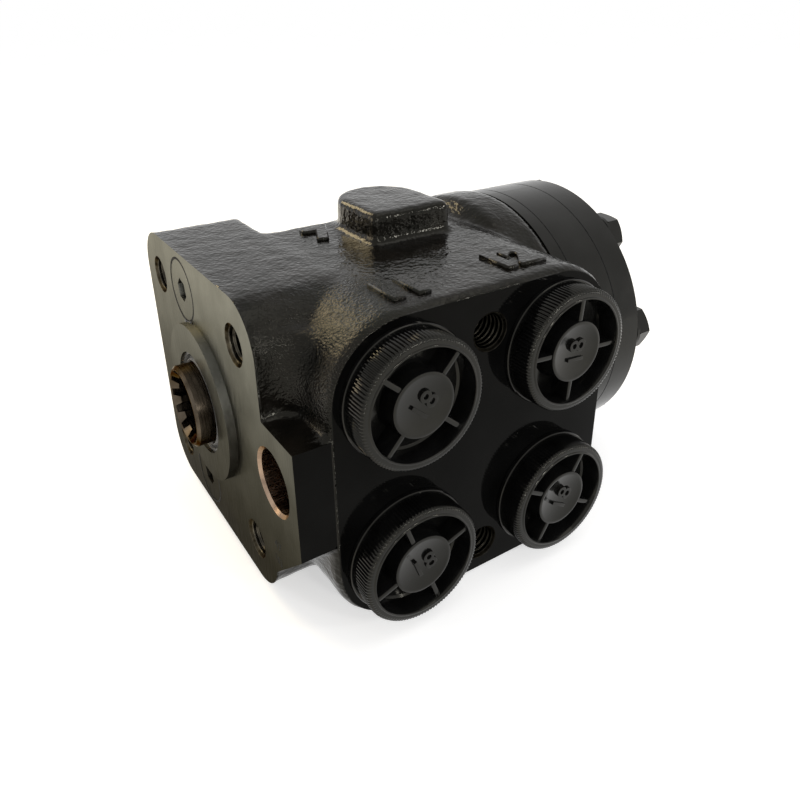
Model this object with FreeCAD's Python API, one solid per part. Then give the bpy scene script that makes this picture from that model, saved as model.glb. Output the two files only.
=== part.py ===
import FreeCAD, Part
import math
import os

# Orbital steering unit with its valves in the housing. Sizes are in millimetres.
# The shaft axis is X, with X = 0 at the machined mounting face and +X towards the end cover.
# The ports face -Y, and +Z is up. The part rests on the flat foot of its port block.

# Mounting flange and front face
FLANGE_HALF = 41.8
FLANGE_CORNER = 13.0
FLANGE_DEPTH = 27.0
COLUMN_HOLE_HALF = 29.15
COLUMN_HOLE_R = 4.25
COLUMN_HOLE_DEPTH = 20.0
COLUMN_CHAMFER = 1.3
SPIGOT_R = 23.0
SPIGOT_HEIGHT = 2.4

# Ear beside the flange, with the open pilot bore
EAR_TOP = 14.4
EAR_LOW = -15.5
EAR_THICK = 9.5
EAR_TAPER_Y = -34.5
EAR_TAPER_Z = -38.0
PILOT_Y = -45.5
PILOT_Z = -0.5
PILOT_R = 8.3
PILOT_DEPTH = 24.0
PILOT_MOUTH = 0.8
PILOT_DRILL_R = 4.0
PILOT_DRILL_DEPTH = 16.0

# Port block
PORT_FACE = 58.5
BLOCK_BACK = 12.6
PORT_X_FRONT = 29.3
PORT_PITCH_X = 47.0
PORT_Z_TOP = 21.0
PORT_PITCH_Z = 45.9
BLOCK_CORNER = 20.5
BLOCK_EDGE = 1.6
FLARE_R = 7.0
PORT_R = 10.05
PORT_DEPTH = 15.0
PORT_CHAMFER = 1.0
PORT_DRILL_POINT = 0.3
DRILL_POINT = 0.6
CHANNEL_R = 4.5
FACE_BOLT_X = 54.0
FACE_BOLT_PITCH = 65.0
FACE_BOLT_R = 4.25
FACE_BOLT_DEPTH = 14.0
FACE_BOLT_CHAMFER = 1.0

# Body, boss and rear collar
BODY_R = 41.0
COLLAR_STEP = 1.0
COLLAR_START = 88.0
COLLAR_SLOPE = 6.0
COLLAR_EDGE = 1.5
BOSS_X = 59.5
BOSS_HALF = 13.0
BOSS_FRONT = 17.5
BOSS_HEIGHT = 9.0
BOSS_EDGE = 1.5
BOSS_ROOT = 4.0

# Control bore, from the mounting face backwards
SEAL_WIDTH = 3.1
SEAL_LAND_GAP = 0.6
SHAFT_SEAL_WIDTH = 3.7
DUST_SEAL_END = 2.6
SEAL_LAND = 1.0
BEARING_START = 8.0
RACE_THICK = 1.4
NEEDLE_R = 1.0
NEEDLE_COUNT = 12
AXIAL_PLAY = 0.02
GROOVE_DEPTH = 2.5
GROOVE_WIDTH = 5.0
GROOVE_XS = (44.0, 68.0, 54.0, 79.0)

# Rear stack: lengths, bolt circle, face seals
HOUSING_END = 100.5
PLATE_THICK = 4.7
RING_THICK = 13.8
COVER_THICK = 10.6
STACK_R = 44.2
COVER_CHAMFER = 1.2
SCREW_EDGE = 8.0
SCREW_R = 3.95
SCREW_HOLE_R = 4.25
SCREW_FLATS = 13.0
SCREW_HEAD = 5.3
SCREW_THREAD = 12.5
WASHER_R = 7.3
WASHER_THICK = 1.2
FACE_SEAL_INSET = 5.4
FACE_SEAL_WIRE = 0.65
FACE_GROOVE_DEPTH = 1.1
PLATE_HOLE_R = 13.0
FEED_HOLE_R = 2.2
FEED_WALL = 6.58
FEED_DEPTH = 7.5
FEED_SLOT = 3.0
FEED_SETBACK = 5.2

# Gear set: seven ring lobes, six rotor lobes
RING_LOBES = 7
ROTOR_LOBES = 6
LOBE_EDGE = 13.2
PROFILE_PITCH_R = 31.0
PROFILE_ORBIT = 3.0
PROFILE_LOBE_R = 7.5
GEAR_PLAY = 0.08
GEAR_PHASE = 22.1
ROTOR_PLAY = 0.03
ROTOR_ARCS = 8

# Splines
SPLINE_TEETH = 12
TOOTH_ROOT_SHARE = 0.30
TOOTH_TIP_SHARE = 0.19
INPUT_MINOR_R = 8.73
INPUT_MAJOR_R = 10.48
DRIVE_MINOR_R = 9.4
DRIVE_MAJOR_R = 11.2
DRIVE_PLAY = 0.42

# Spool, sleeve and their pieces
STUB_R = 11.8
STUB_LENGTH = 6.8
STUB_CHAMFER = 0.8
INPUT_DEPTH = 14.0
SPOOL_R = 13.96
SPOOL_WALL = 3.46
SPOOL_CAVITY_START = 27.0
SPOOL_CAVITY_CONE = 4.0
SPOOL_PLAY = 0.04
SLEEVE_WALL = 4.97
SLEEVE_PLAY = 0.05
VALVE_END_GAP = 1.0
RUNNING_PLAY = 0.06
PIN_X = 36.0
PIN_R = 4.0
PIN_PLAY = 0.02
PIN_SHORT = 0.8
TWIST_LIMIT = 8.0
SLOT_MARGIN = 0.15
SPRING_X = 20.5
SPRING_WIDTH = 6.6
SPRING_LEAF = 0.7
SPRING_BOW = 1.1
SPRING_PLAY = 0.05
SPRING_SHORT = 0.4
RING_BAND = 1.0
RING_OVERHANG = 0.5
METER_SLOTS = 6
METER_SLOT_WIDTH = 3.0
METER_SLOT_DEPTH = 1.2
METER_HOLE_R = 1.4
METER_XS = (54.0, 79.0)
METER_RING_WIDTH = 3.0
METER_SLOT_START = 56.0
METER_SLOT_END = 78.0
METER_SLOT_TURN = 15.0
SPOOL_RING_START = 50.0
SPOOL_RING_END = 52.0
RING_CUT = 0.8

# Cardan shaft and spacer
FORK_R = 9.6
FORK_FRONT = 6.5
FORK_BACK = 9.0
FORK_SLOT_BACK = 0.6
FORK_PLAY = 0.08
NECK_R = 7.2
HEAD_HALF = 5.5
HEAD_SHOULDER = 4.0
SPACER_THICK = 1.7
SPACER_PLAY = 0.06

# Valves behind the front plugs
VALVE_Y = 8.7
VALVE_Z = 30.8
VALVE_PLUG_R = 8.9
VALVE_PLUG_LENGTH = 7.0
VALVE_CAVITY_R = 6.5
VALVE_CAVITY_END = 32.0
VALVE_SOCKET = 6.0
VALVE_SOCKET_DEPTH = 4.0
VALVE_SOCKET_TURN = 15.0
VALVE_BALL_R = 4.2
VALVE_SEAT_R = 3.0
VALVE_SEAT_DEPTH = 4.0
COIL_R = 4.4
COIL_WIRE = 1.2
COIL_TURNS = 4
SEAT_PLAY = 0.05

# Check valve in port 2 and suction valves in two screw holes
CHECK_BORE_R = 6.2
CHECK_BUSH_R = 4.0
CHECK_BUSH_LENGTH = 4.0
CHECK_BALL_R = 4.9
CHECK_LIFT = 2.5
SUCTION_INDEXES = (3, 4)
SUCTION_DEPTH = 14.0
SUCTION_BALL_R = 3.6
SUCTION_PIN_R = 1.5
SUCTION_PIN_LENGTH = 6.0

# Transport plugs
PLUG_R = 17.3
PLUG_WINDOW_R = 14.1
PLUG_HUB_R = 8.3
PLUG_HEIGHT = 8.3
PLUG_FLOOR = 1.8
PLUG_BASE = 1.5
PLUG_RIM_STEP = 0.5
PLUG_SPOKE = 1.4
PLUG_STUB_R = 9.95
PLUG_STUB_WALL = 1.8
PLUG_STUB_LENGTH = 12.0
PLUG_GAP = 0.05
PLUG_ANGLES = (48.0, 85.0, 20.0, 60.0)

# Places that follow from the sizes above
COLLAR_R = STACK_R + COLLAR_STEP
SCREW_CIRCLE = STACK_R - SCREW_EDGE
FACE_SEAL_R = SCREW_CIRCLE - FACE_SEAL_INSET
GEAR_PITCH_R = STACK_R - LOBE_EDGE
GEAR_SCALE = GEAR_PITCH_R / PROFILE_PITCH_R
ECCENTRICITY = PROFILE_ORBIT * GEAR_SCALE
LOBE_R = PROFILE_LOBE_R * GEAR_SCALE
SPOOL_CAVITY_R = SPOOL_R - SPOOL_WALL
SLEEVE_BORE_R = SPOOL_R + SPOOL_PLAY
SLEEVE_R = SLEEVE_BORE_R + SLEEVE_WALL
BORE_R = SLEEVE_R + SLEEVE_PLAY
SEAL_HOLE_R = STUB_R + SEAL_WIDTH
SEAL_LAND_R = STUB_R + SEAL_LAND_GAP
SEAL_GROOVE_R = STUB_R + SHAFT_SEAL_WIDTH
FEED_CIRCLE = BORE_R + FEED_WALL
PLATE_END = HOUSING_END + PLATE_THICK
RING_END = PLATE_END + RING_THICK
COVER_END = RING_END + COVER_THICK
PORT_XS = (PORT_X_FRONT, PORT_X_FRONT + PORT_PITCH_X)
PORT_ZS = (PORT_Z_TOP, PORT_Z_TOP - PORT_PITCH_Z)
PORTS = [(x, z) for z in PORT_ZS for x in PORT_XS]
BLOCK_TOP = PORT_Z_TOP + BLOCK_CORNER
BLOCK_FOOT = PORT_ZS[1] - BLOCK_CORNER
CAGE_START = BEARING_START + RACE_THICK
CAGE_END = CAGE_START + 2 * NEEDLE_R + AXIAL_PLAY
SLEEVE_START = CAGE_END + RACE_THICK
SPOOL_START = SLEEVE_START + RACE_THICK
SHAFT_SEAL_START = DUST_SEAL_END + SEAL_LAND
SPOOL_END = HOUSING_END - VALVE_END_GAP
RACE_R = BORE_R - RUNNING_PLAY
RACE_BORE = STUB_R + 0.5
SCREW_ANGLES = [GEAR_PHASE + 360.0 * k / RING_LOBES for k in range(RING_LOBES)]
SCREW_TIP = HOUSING_END - SCREW_THREAD + 1.0
HEAD_SEAT = COVER_END + WASHER_THICK
DRIVE_CROSS = PLATE_END + RING_THICK / 2 - 0.8
SUCTION_SEAT = HOUSING_END - SCREW_THREAD - SUCTION_DEPTH
BOSS_TOP = BLOCK_TOP + BOSS_HEIGHT
FEED_X = HOUSING_END - FEED_SETBACK


def vec(x, y, z):
    return FreeCAD.Vector(x, y, z)


def polar(radius, angle):
    """Y and Z of a point at an angle about the shaft axis, from +Y towards +Z."""
    turn = math.radians(angle)
    return radius * math.cos(turn), radius * math.sin(turn)


def rod_x(radius, start, end, y=0.0, z=0.0):
    return Part.makeCylinder(radius, end - start, vec(start, y, z), vec(1, 0, 0))


def tube_x(outer, inner, start, end, y=0.0, z=0.0):
    return rod_x(outer, start, end, y, z).cut(rod_x(inner, start - 1, end + 1, y, z))


def rod_between(radius, start, end):
    run = end.sub(start)
    return Part.makeCylinder(radius, run.Length, start, run)


def face_of(points):
    return Part.Face(Part.makePolygon(list(points) + [points[0]]))


def spun(profile, origin, direction):
    """Solid of revolution from (distance along the axis, radius) points."""
    points = [vec(radius, 0, along) for along, radius in profile]
    solid = face_of(points).revolve(vec(0, 0, 0), vec(0, 0, 1), 360)
    solid.Placement = FreeCAD.Placement(origin, FreeCAD.Rotation(vec(0, 0, 1), direction))
    return solid


def cone_end(radius, x, y, z):
    """Drill point of 118 degrees at the end of a hole along X."""
    return Part.makeCone(radius, 0, radius * DRILL_POINT, vec(x, y, z), vec(1, 0, 0))


def drilled_x(radius, start, end, y, z):
    return rod_x(radius, start, end, y, z).fuse(cone_end(radius, end, y, z))


def fuse_all(shapes):
    return shapes[0].multiFuse(shapes[1:]).removeSplitter()


def hex_prism(flats, start, end, y=0.0, z=0.0, turn=0.0):
    radius = flats / math.sqrt(3)
    corners = []
    for k in range(6):
        dy, dz = polar(radius, turn + 60 * k)
        corners.append(vec(start, y + dy, z + dz))
    return face_of(corners).extrude(vec(end - start, 0, 0))


def spline_prism(minor, major, start, end, play=0.0):
    """Twelve straight-sided teeth that point outwards, thinner on each side by the play."""
    pitch = 2 * math.pi / SPLINE_TEETH
    corners = ((minor, -TOOTH_ROOT_SHARE), (major, -TOOTH_TIP_SHARE),
               (major, TOOTH_TIP_SHARE), (minor, TOOTH_ROOT_SHARE))
    points = []
    for tooth in range(SPLINE_TEETH):
        for radius, share in corners:
            side = math.copysign(play / radius, share)
            angle = tooth * pitch + share * pitch - side
            points.append(vec(start, radius * math.cos(angle), radius * math.sin(angle)))
    return face_of(points).extrude(vec(end - start, 0, 0))


def flange():
    side = 2 * FLANGE_HALF
    block = Part.makeBox(FLANGE_DEPTH, side, side, vec(0, -FLANGE_HALF, -FLANGE_HALF))
    corners = [e for e in block.Edges if abs(e.tangentAt(e.FirstParameter).x) > 0.99]
    return block.makeFillet(FLANGE_CORNER, corners)


def ear():
    inside = -FLANGE_HALF + FLANGE_CORNER
    points = [(inside, EAR_TOP), (-PORT_FACE, EAR_TOP), (-PORT_FACE, EAR_LOW),
              (EAR_TAPER_Y, EAR_TAPER_Z), (inside, EAR_TAPER_Z)]
    return face_of([vec(0, y, z) for y, z in points]).extrude(vec(EAR_THICK, 0, 0))


def block_outline(y):
    """Port block outline: a rectangle whose corners are centred on the ports."""
    left, right = PORT_XS
    top, low = PORT_ZS
    r = BLOCK_CORNER
    d = r * math.sqrt(0.5)
    arcs = [((left - r, top), (left - d, top + d), (left, top + r)),
            ((right, top + r), (right + d, top + d), (right + r, top)),
            ((right + r, low), (right + d, low - d), (right, low - r)),
            ((left, low - r), (left - d, low - d), (left - r, low))]
    edges = []
    for k, arc in enumerate(arcs):
        a, b, c = [vec(x, y, z) for x, z in arc]
        x_next, z_next = arcs[(k + 1) % 4][0]
        edges.append(Part.Arc(a, b, c).toShape())
        edges.append(Part.LineSegment(c, vec(x_next, y, z_next)).toShape())
    return Part.Wire(edges)


def port_block():
    block = Part.Face(block_outline(-PORT_FACE)).extrude(vec(0, PORT_FACE + BLOCK_BACK, 0))
    rim = [e for e in block.Edges if abs(e.CenterOfMass.y + PORT_FACE) < 0.01]
    return block.makeFillet(BLOCK_EDGE, rim)


def scoop_fillet():
    """Hollow that runs from the side of the flange into the rounded corner of the block."""
    x, z = PORTS[0]
    start = vec(BLOCK_CORNER - 1, 0, -FLARE_R)
    foot = vec(BLOCK_CORNER, 0, -FLARE_R)
    mid = FLARE_R * (1 - math.sqrt(0.5))
    middle = vec(BLOCK_CORNER + mid, 0, -mid)
    tip = vec(BLOCK_CORNER + FLARE_R, 0, 0)
    back = vec(BLOCK_CORNER + FLARE_R, 0, 1)
    corner = vec(BLOCK_CORNER - 1, 0, 1)
    edges = [Part.makeLine(start, foot), Part.Arc(foot, middle, tip).toShape(),
             Part.makeLine(tip, back), Part.makeLine(back, corner), Part.makeLine(corner, start)]
    flare = Part.Face(Part.Wire(edges)).revolve(vec(0, 0, 0), vec(0, 0, 1), 360)
    flare.Placement = FreeCAD.Placement(vec(x, -FLANGE_HALF, z),
                                        FreeCAD.Rotation(vec(0, 0, 1), vec(0, 1, 0)))
    span = FLANGE_HALF - FLANGE_CORNER - EAR_TOP
    keep = Part.makeBox(x, 2 * FLARE_R, span + FLANGE_CORNER / 2,
                        vec(0, -FLANGE_HALF - FLARE_R, EAR_TOP))
    return flare.common(keep)


def collar():
    slope_start = COLLAR_START - COLLAR_SLOPE
    profile = [(slope_start, 0), (slope_start, BODY_R - 0.5), (COLLAR_START, COLLAR_R),
               (HOUSING_END - COLLAR_EDGE, COLLAR_R), (HOUSING_END, COLLAR_R - COLLAR_EDGE),
               (HOUSING_END, 0)]
    return spun(profile, vec(0, 0, 0), vec(1, 0, 0))


def boss():
    left = BOSS_X - BOSS_HALF
    right = BOSS_X + BOSS_HALF
    z = BLOCK_TOP - BOSS_ROOT
    corner_a = vec(left, -BOSS_FRONT, z)
    corner_b = vec(right, -BOSS_FRONT, z)
    edges = [Part.makeLine(vec(left, 0, z), corner_a),
             Part.makeLine(corner_a, corner_b),
             Part.makeLine(corner_b, vec(right, 0, z)),
             Part.Arc(vec(right, 0, z), vec(BOSS_X, BOSS_HALF, z), vec(left, 0, z)).toShape()]
    solid = Part.Face(Part.Wire(edges)).extrude(vec(0, 0, BOSS_TOP - z))
    rim = [e for e in solid.Edges if abs(e.CenterOfMass.z - BOSS_TOP) < 0.01]
    return solid.makeFillet(BOSS_EDGE, rim)


def casting():
    body = rod_x(BODY_R, FLANGE_DEPTH - 1, HOUSING_END - COLLAR_EDGE)
    return fuse_all([flange(), ear(), port_block(), scoop_fillet(), body, collar(), boss(),
                     rod_x(SPIGOT_R, -SPIGOT_HEIGHT, 1)])


def front_bores():
    """Seal seats and bearing chamber, then the long control bore."""
    profile = [(-SPIGOT_HEIGHT - 1, 0), (-SPIGOT_HEIGHT - 1, SEAL_HOLE_R),
               (DUST_SEAL_END, SEAL_HOLE_R), (DUST_SEAL_END, SEAL_LAND_R),
               (SHAFT_SEAL_START, SEAL_LAND_R), (SHAFT_SEAL_START, SEAL_GROOVE_R),
               (BEARING_START, SEAL_GROOVE_R), (BEARING_START, BORE_R),
               (HOUSING_END + 1, BORE_R), (HOUSING_END + 1, 0)]
    return spun(profile, vec(0, 0, 0), vec(1, 0, 0))


def column_holes():
    holes = []
    for y in (-COLUMN_HOLE_HALF, COLUMN_HOLE_HALF):
        for z in (-COLUMN_HOLE_HALF, COLUMN_HOLE_HALF):
            holes.append(drilled_x(COLUMN_HOLE_R, -1, COLUMN_HOLE_DEPTH, y, z))
            wide = COLUMN_HOLE_R + COLUMN_CHAMFER
            holes.append(Part.makeCone(wide, COLUMN_HOLE_R, COLUMN_CHAMFER,
                                       vec(0, y, z), vec(1, 0, 0)))
    return holes


def pilot_bore():
    deep = PILOT_DEPTH + PILOT_DRILL_DEPTH
    mouth = Part.makeCone(PILOT_R + PILOT_MOUTH, PILOT_R, PILOT_MOUTH,
                          vec(0, PILOT_Y, PILOT_Z), vec(1, 0, 0))
    return [drilled_x(PILOT_R, -1, PILOT_DEPTH, PILOT_Y, PILOT_Z),
            drilled_x(PILOT_DRILL_R, PILOT_DEPTH, deep, PILOT_Y, PILOT_Z), mouth]


def port_cuts():
    """Ports, the channels from them to ring grooves round the control bore."""
    floor = -PORT_FACE + PORT_DEPTH
    cuts = []
    for (x, z), groove_x in zip(PORTS, GROOVE_XS):
        cuts.append(spun([(-1, 0), (-1, PORT_R + PORT_CHAMFER), (0, PORT_R + PORT_CHAMFER),
                          (PORT_CHAMFER, PORT_R), (PORT_DEPTH, PORT_R),
                          (PORT_DEPTH + PORT_R * PORT_DRILL_POINT, 0)],
                         vec(x, -PORT_FACE, z), vec(0, 1, 0)))
        inner = vec(groove_x, -BORE_R + 3, math.copysign(BORE_R * 0.4, z))
        cuts.append(rod_between(CHANNEL_R, vec(x, floor, z), inner))
        half = GROOVE_WIDTH / 2
        cuts.append(rod_x(BORE_R + GROOVE_DEPTH, groove_x - half, groove_x + half))
    for z in face_bolt_zs():
        start = vec(FACE_BOLT_X, -PORT_FACE - 1, z)
        cuts.append(rod_between(FACE_BOLT_R, start,
                                vec(FACE_BOLT_X, FACE_BOLT_DEPTH - PORT_FACE, z)))
        wide = FACE_BOLT_R + FACE_BOLT_CHAMFER
        cuts.append(Part.makeCone(wide, FACE_BOLT_R, FACE_BOLT_CHAMFER,
                                  vec(FACE_BOLT_X, -PORT_FACE, z), vec(0, 1, 0)))
    return cuts


def face_bolt_zs():
    middle = sum(PORT_ZS) / 2 - 1.0
    return (middle + FACE_BOLT_PITCH / 2, middle - FACE_BOLT_PITCH / 2)


def valve_cuts():
    cuts = []
    for z in (VALVE_Z, -VALVE_Z):
        cuts.append(rod_x(VALVE_PLUG_R + SEAT_PLAY, -1, VALVE_PLUG_LENGTH, VALVE_Y, z))
        cuts.append(rod_x(VALVE_CAVITY_R, 0, VALVE_CAVITY_END, VALVE_Y, z))
        cuts.append(rod_x(VALVE_SEAT_R, 0, VALVE_CAVITY_END + VALVE_SEAT_DEPTH, VALVE_Y, z))
    x, z = PORTS[1]
    floor = -PORT_FACE + PORT_DEPTH
    end = check_ball_y() + CHECK_BALL_R + CHECK_LIFT
    cuts.append(rod_between(CHECK_BORE_R, vec(x, floor - 1, z), vec(x, end, z)))
    return cuts


def rear_cuts():
    """Tapped screw holes, suction valve bores, feed holes and the face seal groove."""
    cuts = []
    for k, angle in enumerate(SCREW_ANGLES):
        y, z = polar(SCREW_CIRCLE, angle)
        start = HOUSING_END - SCREW_THREAD
        cuts.append(rod_x(SCREW_R + SEAT_PLAY, start, HOUSING_END + 1, y, z))
        if k in SUCTION_INDEXES:
            cuts.append(rod_x(SCREW_R + SEAT_PLAY, SUCTION_SEAT, start + 1, y, z))
        y, z = polar(FEED_CIRCLE, angle + 180.0 / RING_LOBES)
        cuts.append(rod_x(FEED_HOLE_R, HOUSING_END - FEED_DEPTH, HOUSING_END + 1, y, z))
        slot = Part.makeBox(FEED_SLOT, FEED_CIRCLE, FEED_SLOT,
                            vec(FEED_X - FEED_SLOT / 2, 0, -FEED_SLOT / 2))
        slot.rotate(vec(0, 0, 0), vec(1, 0, 0), angle + 180.0 / RING_LOBES)
        cuts.append(slot)
    cuts.append(face_groove(HOUSING_END - FACE_GROOVE_DEPTH, HOUSING_END + 1))
    return cuts


def face_groove(start, end):
    wire = FACE_SEAL_WIRE + SEAT_PLAY
    return tube_x(FACE_SEAL_R + wire, FACE_SEAL_R - wire, start, end)


def housing():
    cuts = [front_bores()] + column_holes() + pilot_bore() + port_cuts()
    cuts += valve_cuts() + rear_cuts()
    return casting().cut(cuts)


def dust_seal():
    lip = STUB_R + RUNNING_PLAY
    outer = SEAL_HOLE_R - SEAT_PLAY
    front = -SPIGOT_HEIGHT + 0.5
    profile = [(front, lip + 0.6), (front + 0.6, lip), (front + 1.6, lip),
               (front + 2.4, lip + 1.0), (DUST_SEAL_END, lip + 1.0), (DUST_SEAL_END, outer),
               (front + 0.4, outer), (front + 0.4, outer - 0.8), (front + 1.2, outer - 1.2),
               (front + 0.6, lip + 1.2)]
    return spun(profile, vec(0, 0, 0), vec(1, 0, 0))


def shaft_seal():
    return tube_x(SEAL_GROOVE_R - SEAT_PLAY, STUB_R + RUNNING_PLAY, SHAFT_SEAL_START,
                  BEARING_START - 0.3)


def bearing_race(start):
    return tube_x(RACE_R, RACE_BORE, start, start + RACE_THICK)


def needles():
    """Radial rollers between the two races."""
    x = CAGE_START + AXIAL_PLAY / 2 + NEEDLE_R
    inner = RACE_BORE + 1.2
    outer = RACE_R - 0.9
    rollers = []
    for k in range(NEEDLE_COUNT):
        y, z = polar(1, 360.0 * k / NEEDLE_COUNT)
        start = vec(x, inner * y, inner * z)
        end = vec(x, outer * y, outer * z)
        rollers.append(rod_between(NEEDLE_R, start, end))
    return rollers


def needle_cage():
    middle = (CAGE_START + CAGE_END) / 2
    cage = tube_x(RACE_R - 0.2, RACE_BORE + 0.3, middle - 0.6, middle + 0.6)
    pockets = []
    inner = RACE_BORE + 1.1
    half = NEEDLE_R + PIN_PLAY
    for k in range(NEEDLE_COUNT):
        pocket = Part.makeBox(4 * half, RACE_R - 0.8 - inner, 2 * half,
                              vec(middle - 2 * half, inner, -half))
        pocket.rotate(vec(0, 0, 0), vec(1, 0, 0), 360.0 * k / NEEDLE_COUNT)
        pockets.append(pocket)
    return cage.cut(pockets)


def spring_slot(reach):
    """Box across the shaft axis that the neutral springs lie in."""
    thick = spring_stack() + 2 * SPRING_PLAY
    wide = SPRING_WIDTH + 2 * SPRING_PLAY
    return Part.makeBox(wide, 2 * reach, thick, vec(SPRING_X - wide / 2, -reach, -thick / 2))


def spring_stack():
    return 2 * (2 * SPRING_LEAF + SPRING_BOW)


def control_sleeve():
    """Outer valve member, with metering holes, ring grooves and the seat of the spring band."""
    sleeve = tube_x(SLEEVE_R, SLEEVE_BORE_R, SLEEVE_START, SPOOL_END)
    cuts = [spring_slot(SLEEVE_R + 1)]
    cuts.append(rod_between(PIN_R + PIN_PLAY, vec(PIN_X, 0, -SLEEVE_R - 1),
                            vec(PIN_X, 0, SLEEVE_R + 1)))
    half = SPRING_WIDTH / 2 + RING_OVERHANG
    band_seat = SLEEVE_R - RING_BAND - SEAT_PLAY
    cuts.append(tube_x(SLEEVE_R + 1, band_seat, SPRING_X - half, SPRING_X + half))
    for x in METER_XS:
        side = METER_RING_WIDTH / 2
        cuts.append(tube_x(SLEEVE_R + 1, SLEEVE_R - RING_CUT, x - side, x + side))
        cuts += radial_holes(x, METER_SLOTS, 0.0)
    cuts += radial_holes(FEED_X, RING_LOBES, GEAR_PHASE)
    return sleeve.cut(cuts)


def radial_holes(x, count, phase):
    holes = []
    for k in range(count):
        y, z = polar(SLEEVE_R + 2, phase + 360.0 * k / count)
        holes.append(rod_between(METER_HOLE_R, vec(x, 0, 0), vec(x, y, z)))
    return holes


def cross_pin():
    reach = SLEEVE_R - PIN_SHORT
    return rod_between(PIN_R, vec(PIN_X, 0, -reach), vec(PIN_X, 0, reach))


def neutral_springs():
    """Two flat leaves with two bowed leaves above and below them."""
    reach = SLEEVE_R - RING_BAND - SPRING_SHORT
    x = SPRING_X - SPRING_WIDTH / 2
    leaves = []
    for side in (-1, 1):
        z = SPRING_LEAF / 2 * (side - 1)
        leaves.append(Part.makeBox(SPRING_WIDTH, 2 * reach, SPRING_LEAF - 0.02,
                                   vec(x, -reach, z + 0.01)))
        leaves.append(bowed_leaf(x, reach, side))
    return leaves


def bowed_leaf(x, reach, side):
    low = SPRING_LEAF + 0.01
    high = low + SPRING_LEAF
    edges = [Part.Arc(vec(x, -reach, side * (low + SPRING_BOW)), vec(x, 0, side * low),
                      vec(x, reach, side * (low + SPRING_BOW))).toShape(),
             Part.makeLine(vec(x, reach, side * (low + SPRING_BOW)),
                           vec(x, reach, side * (high + SPRING_BOW))),
             Part.Arc(vec(x, reach, side * (high + SPRING_BOW)), vec(x, 0, side * high),
                      vec(x, -reach, side * (high + SPRING_BOW))).toShape(),
             Part.makeLine(vec(x, -reach, side * (high + SPRING_BOW)),
                           vec(x, -reach, side * (low + SPRING_BOW)))]
    return Part.Face(Part.Wire(edges)).extrude(vec(SPRING_WIDTH, 0, 0))


def spring_band():
    half = SPRING_WIDTH / 2 + RING_OVERHANG - SEAT_PLAY
    return tube_x(SLEEVE_R - SEAT_PLAY, SLEEVE_R - RING_BAND, SPRING_X - half, SPRING_X + half)


def control_spool():
    """Inner valve member: splined stub in front, hollow body behind, metering slots outside."""
    profile = [(-STUB_LENGTH, 0), (-STUB_LENGTH, STUB_R - STUB_CHAMFER),
               (-STUB_LENGTH + STUB_CHAMFER, STUB_R), (SPOOL_START, STUB_R),
               (SPOOL_START, SPOOL_R), (SPOOL_END, SPOOL_R), (SPOOL_END, SPOOL_CAVITY_R),
               (SPOOL_CAVITY_START, SPOOL_CAVITY_R),
               (SPOOL_CAVITY_START - SPOOL_CAVITY_CONE, 0)]
    spool = spun(profile, vec(0, 0, 0), vec(1, 0, 0))
    mouth = Part.makeCone(INPUT_MAJOR_R + 0.2, INPUT_MINOR_R, 1.8, vec(-STUB_LENGTH, 0, 0),
                          vec(1, 0, 0))
    cuts = [spline_prism(INPUT_MINOR_R, INPUT_MAJOR_R, -STUB_LENGTH - 1, INPUT_DEPTH - 2),
            rod_x(INPUT_MINOR_R, INPUT_DEPTH - 3, INPUT_DEPTH), mouth,
            spring_slot(SPOOL_R + 1)]
    swing = SPOOL_R * math.sin(math.radians(TWIST_LIMIT))
    half = PIN_R + swing + SLOT_MARGIN
    long = PIN_R + SLOT_MARGIN
    cuts.append(Part.makeBox(2 * long, 2 * half, 2 * SPOOL_R + 2,
                             vec(PIN_X - long, -half, -SPOOL_R - 1)))
    for k in range(METER_SLOTS):
        slot = Part.makeBox(METER_SLOT_END - METER_SLOT_START, METER_SLOT_WIDTH, SPOOL_R,
                            vec(METER_SLOT_START, -METER_SLOT_WIDTH / 2,
                                SPOOL_R - METER_SLOT_DEPTH))
        slot.rotate(vec(0, 0, 0), vec(1, 0, 0), METER_SLOT_TURN + 360.0 * k / METER_SLOTS)
        cuts.append(slot)
    cuts.append(tube_x(SPOOL_R + 1, SPOOL_R - RING_CUT, SPOOL_RING_START, SPOOL_RING_END))
    return spool.cut(cuts)


def rotor_centre():
    return polar(ECCENTRICITY, GEAR_PHASE + 180.0)


def rotor_outline(x):
    """Arcs at the lobe radius inside the path of the ring's lobe centres."""
    points = []
    steps = 2 * ROTOR_LOBES * ROTOR_ARCS
    for k in range(steps + 1):
        t = 2 * math.pi * (k % steps) / steps
        wave = RING_LOBES * t
        cx = GEAR_PITCH_R * math.cos(t) + ECCENTRICITY * math.cos(wave)
        cy = GEAR_PITCH_R * math.sin(t) + ECCENTRICITY * math.sin(wave)
        dx = -GEAR_PITCH_R * math.sin(t) - RING_LOBES * ECCENTRICITY * math.sin(wave)
        dy = GEAR_PITCH_R * math.cos(t) + RING_LOBES * ECCENTRICITY * math.cos(wave)
        length = math.hypot(dx, dy)
        points.append(vec(x, cx - LOBE_R * dy / length, cy + LOBE_R * dx / length))
    arcs = [Part.Arc(*points[k:k + 3]).toShape() for k in range(0, steps, 2)]
    return Part.Wire(arcs)


def rotor():
    start = PLATE_END + ROTOR_PLAY
    end = RING_END - ROTOR_PLAY
    gear = Part.Face(rotor_outline(start)).extrude(vec(end - start, 0, 0))
    gear = gear.cut(spline_prism(DRIVE_MINOR_R, DRIVE_MAJOR_R, start - 1, end + 1))
    gear.rotate(vec(0, 0, 0), vec(1, 0, 0), GEAR_PHASE)
    y, z = rotor_centre()
    gear.translate(vec(0, y, z))
    return gear


def screw_holes(start, end):
    holes = []
    for angle in SCREW_ANGLES:
        y, z = polar(SCREW_CIRCLE, angle)
        holes.append(rod_x(SCREW_HOLE_R, start, end, y, z))
    return holes


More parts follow.
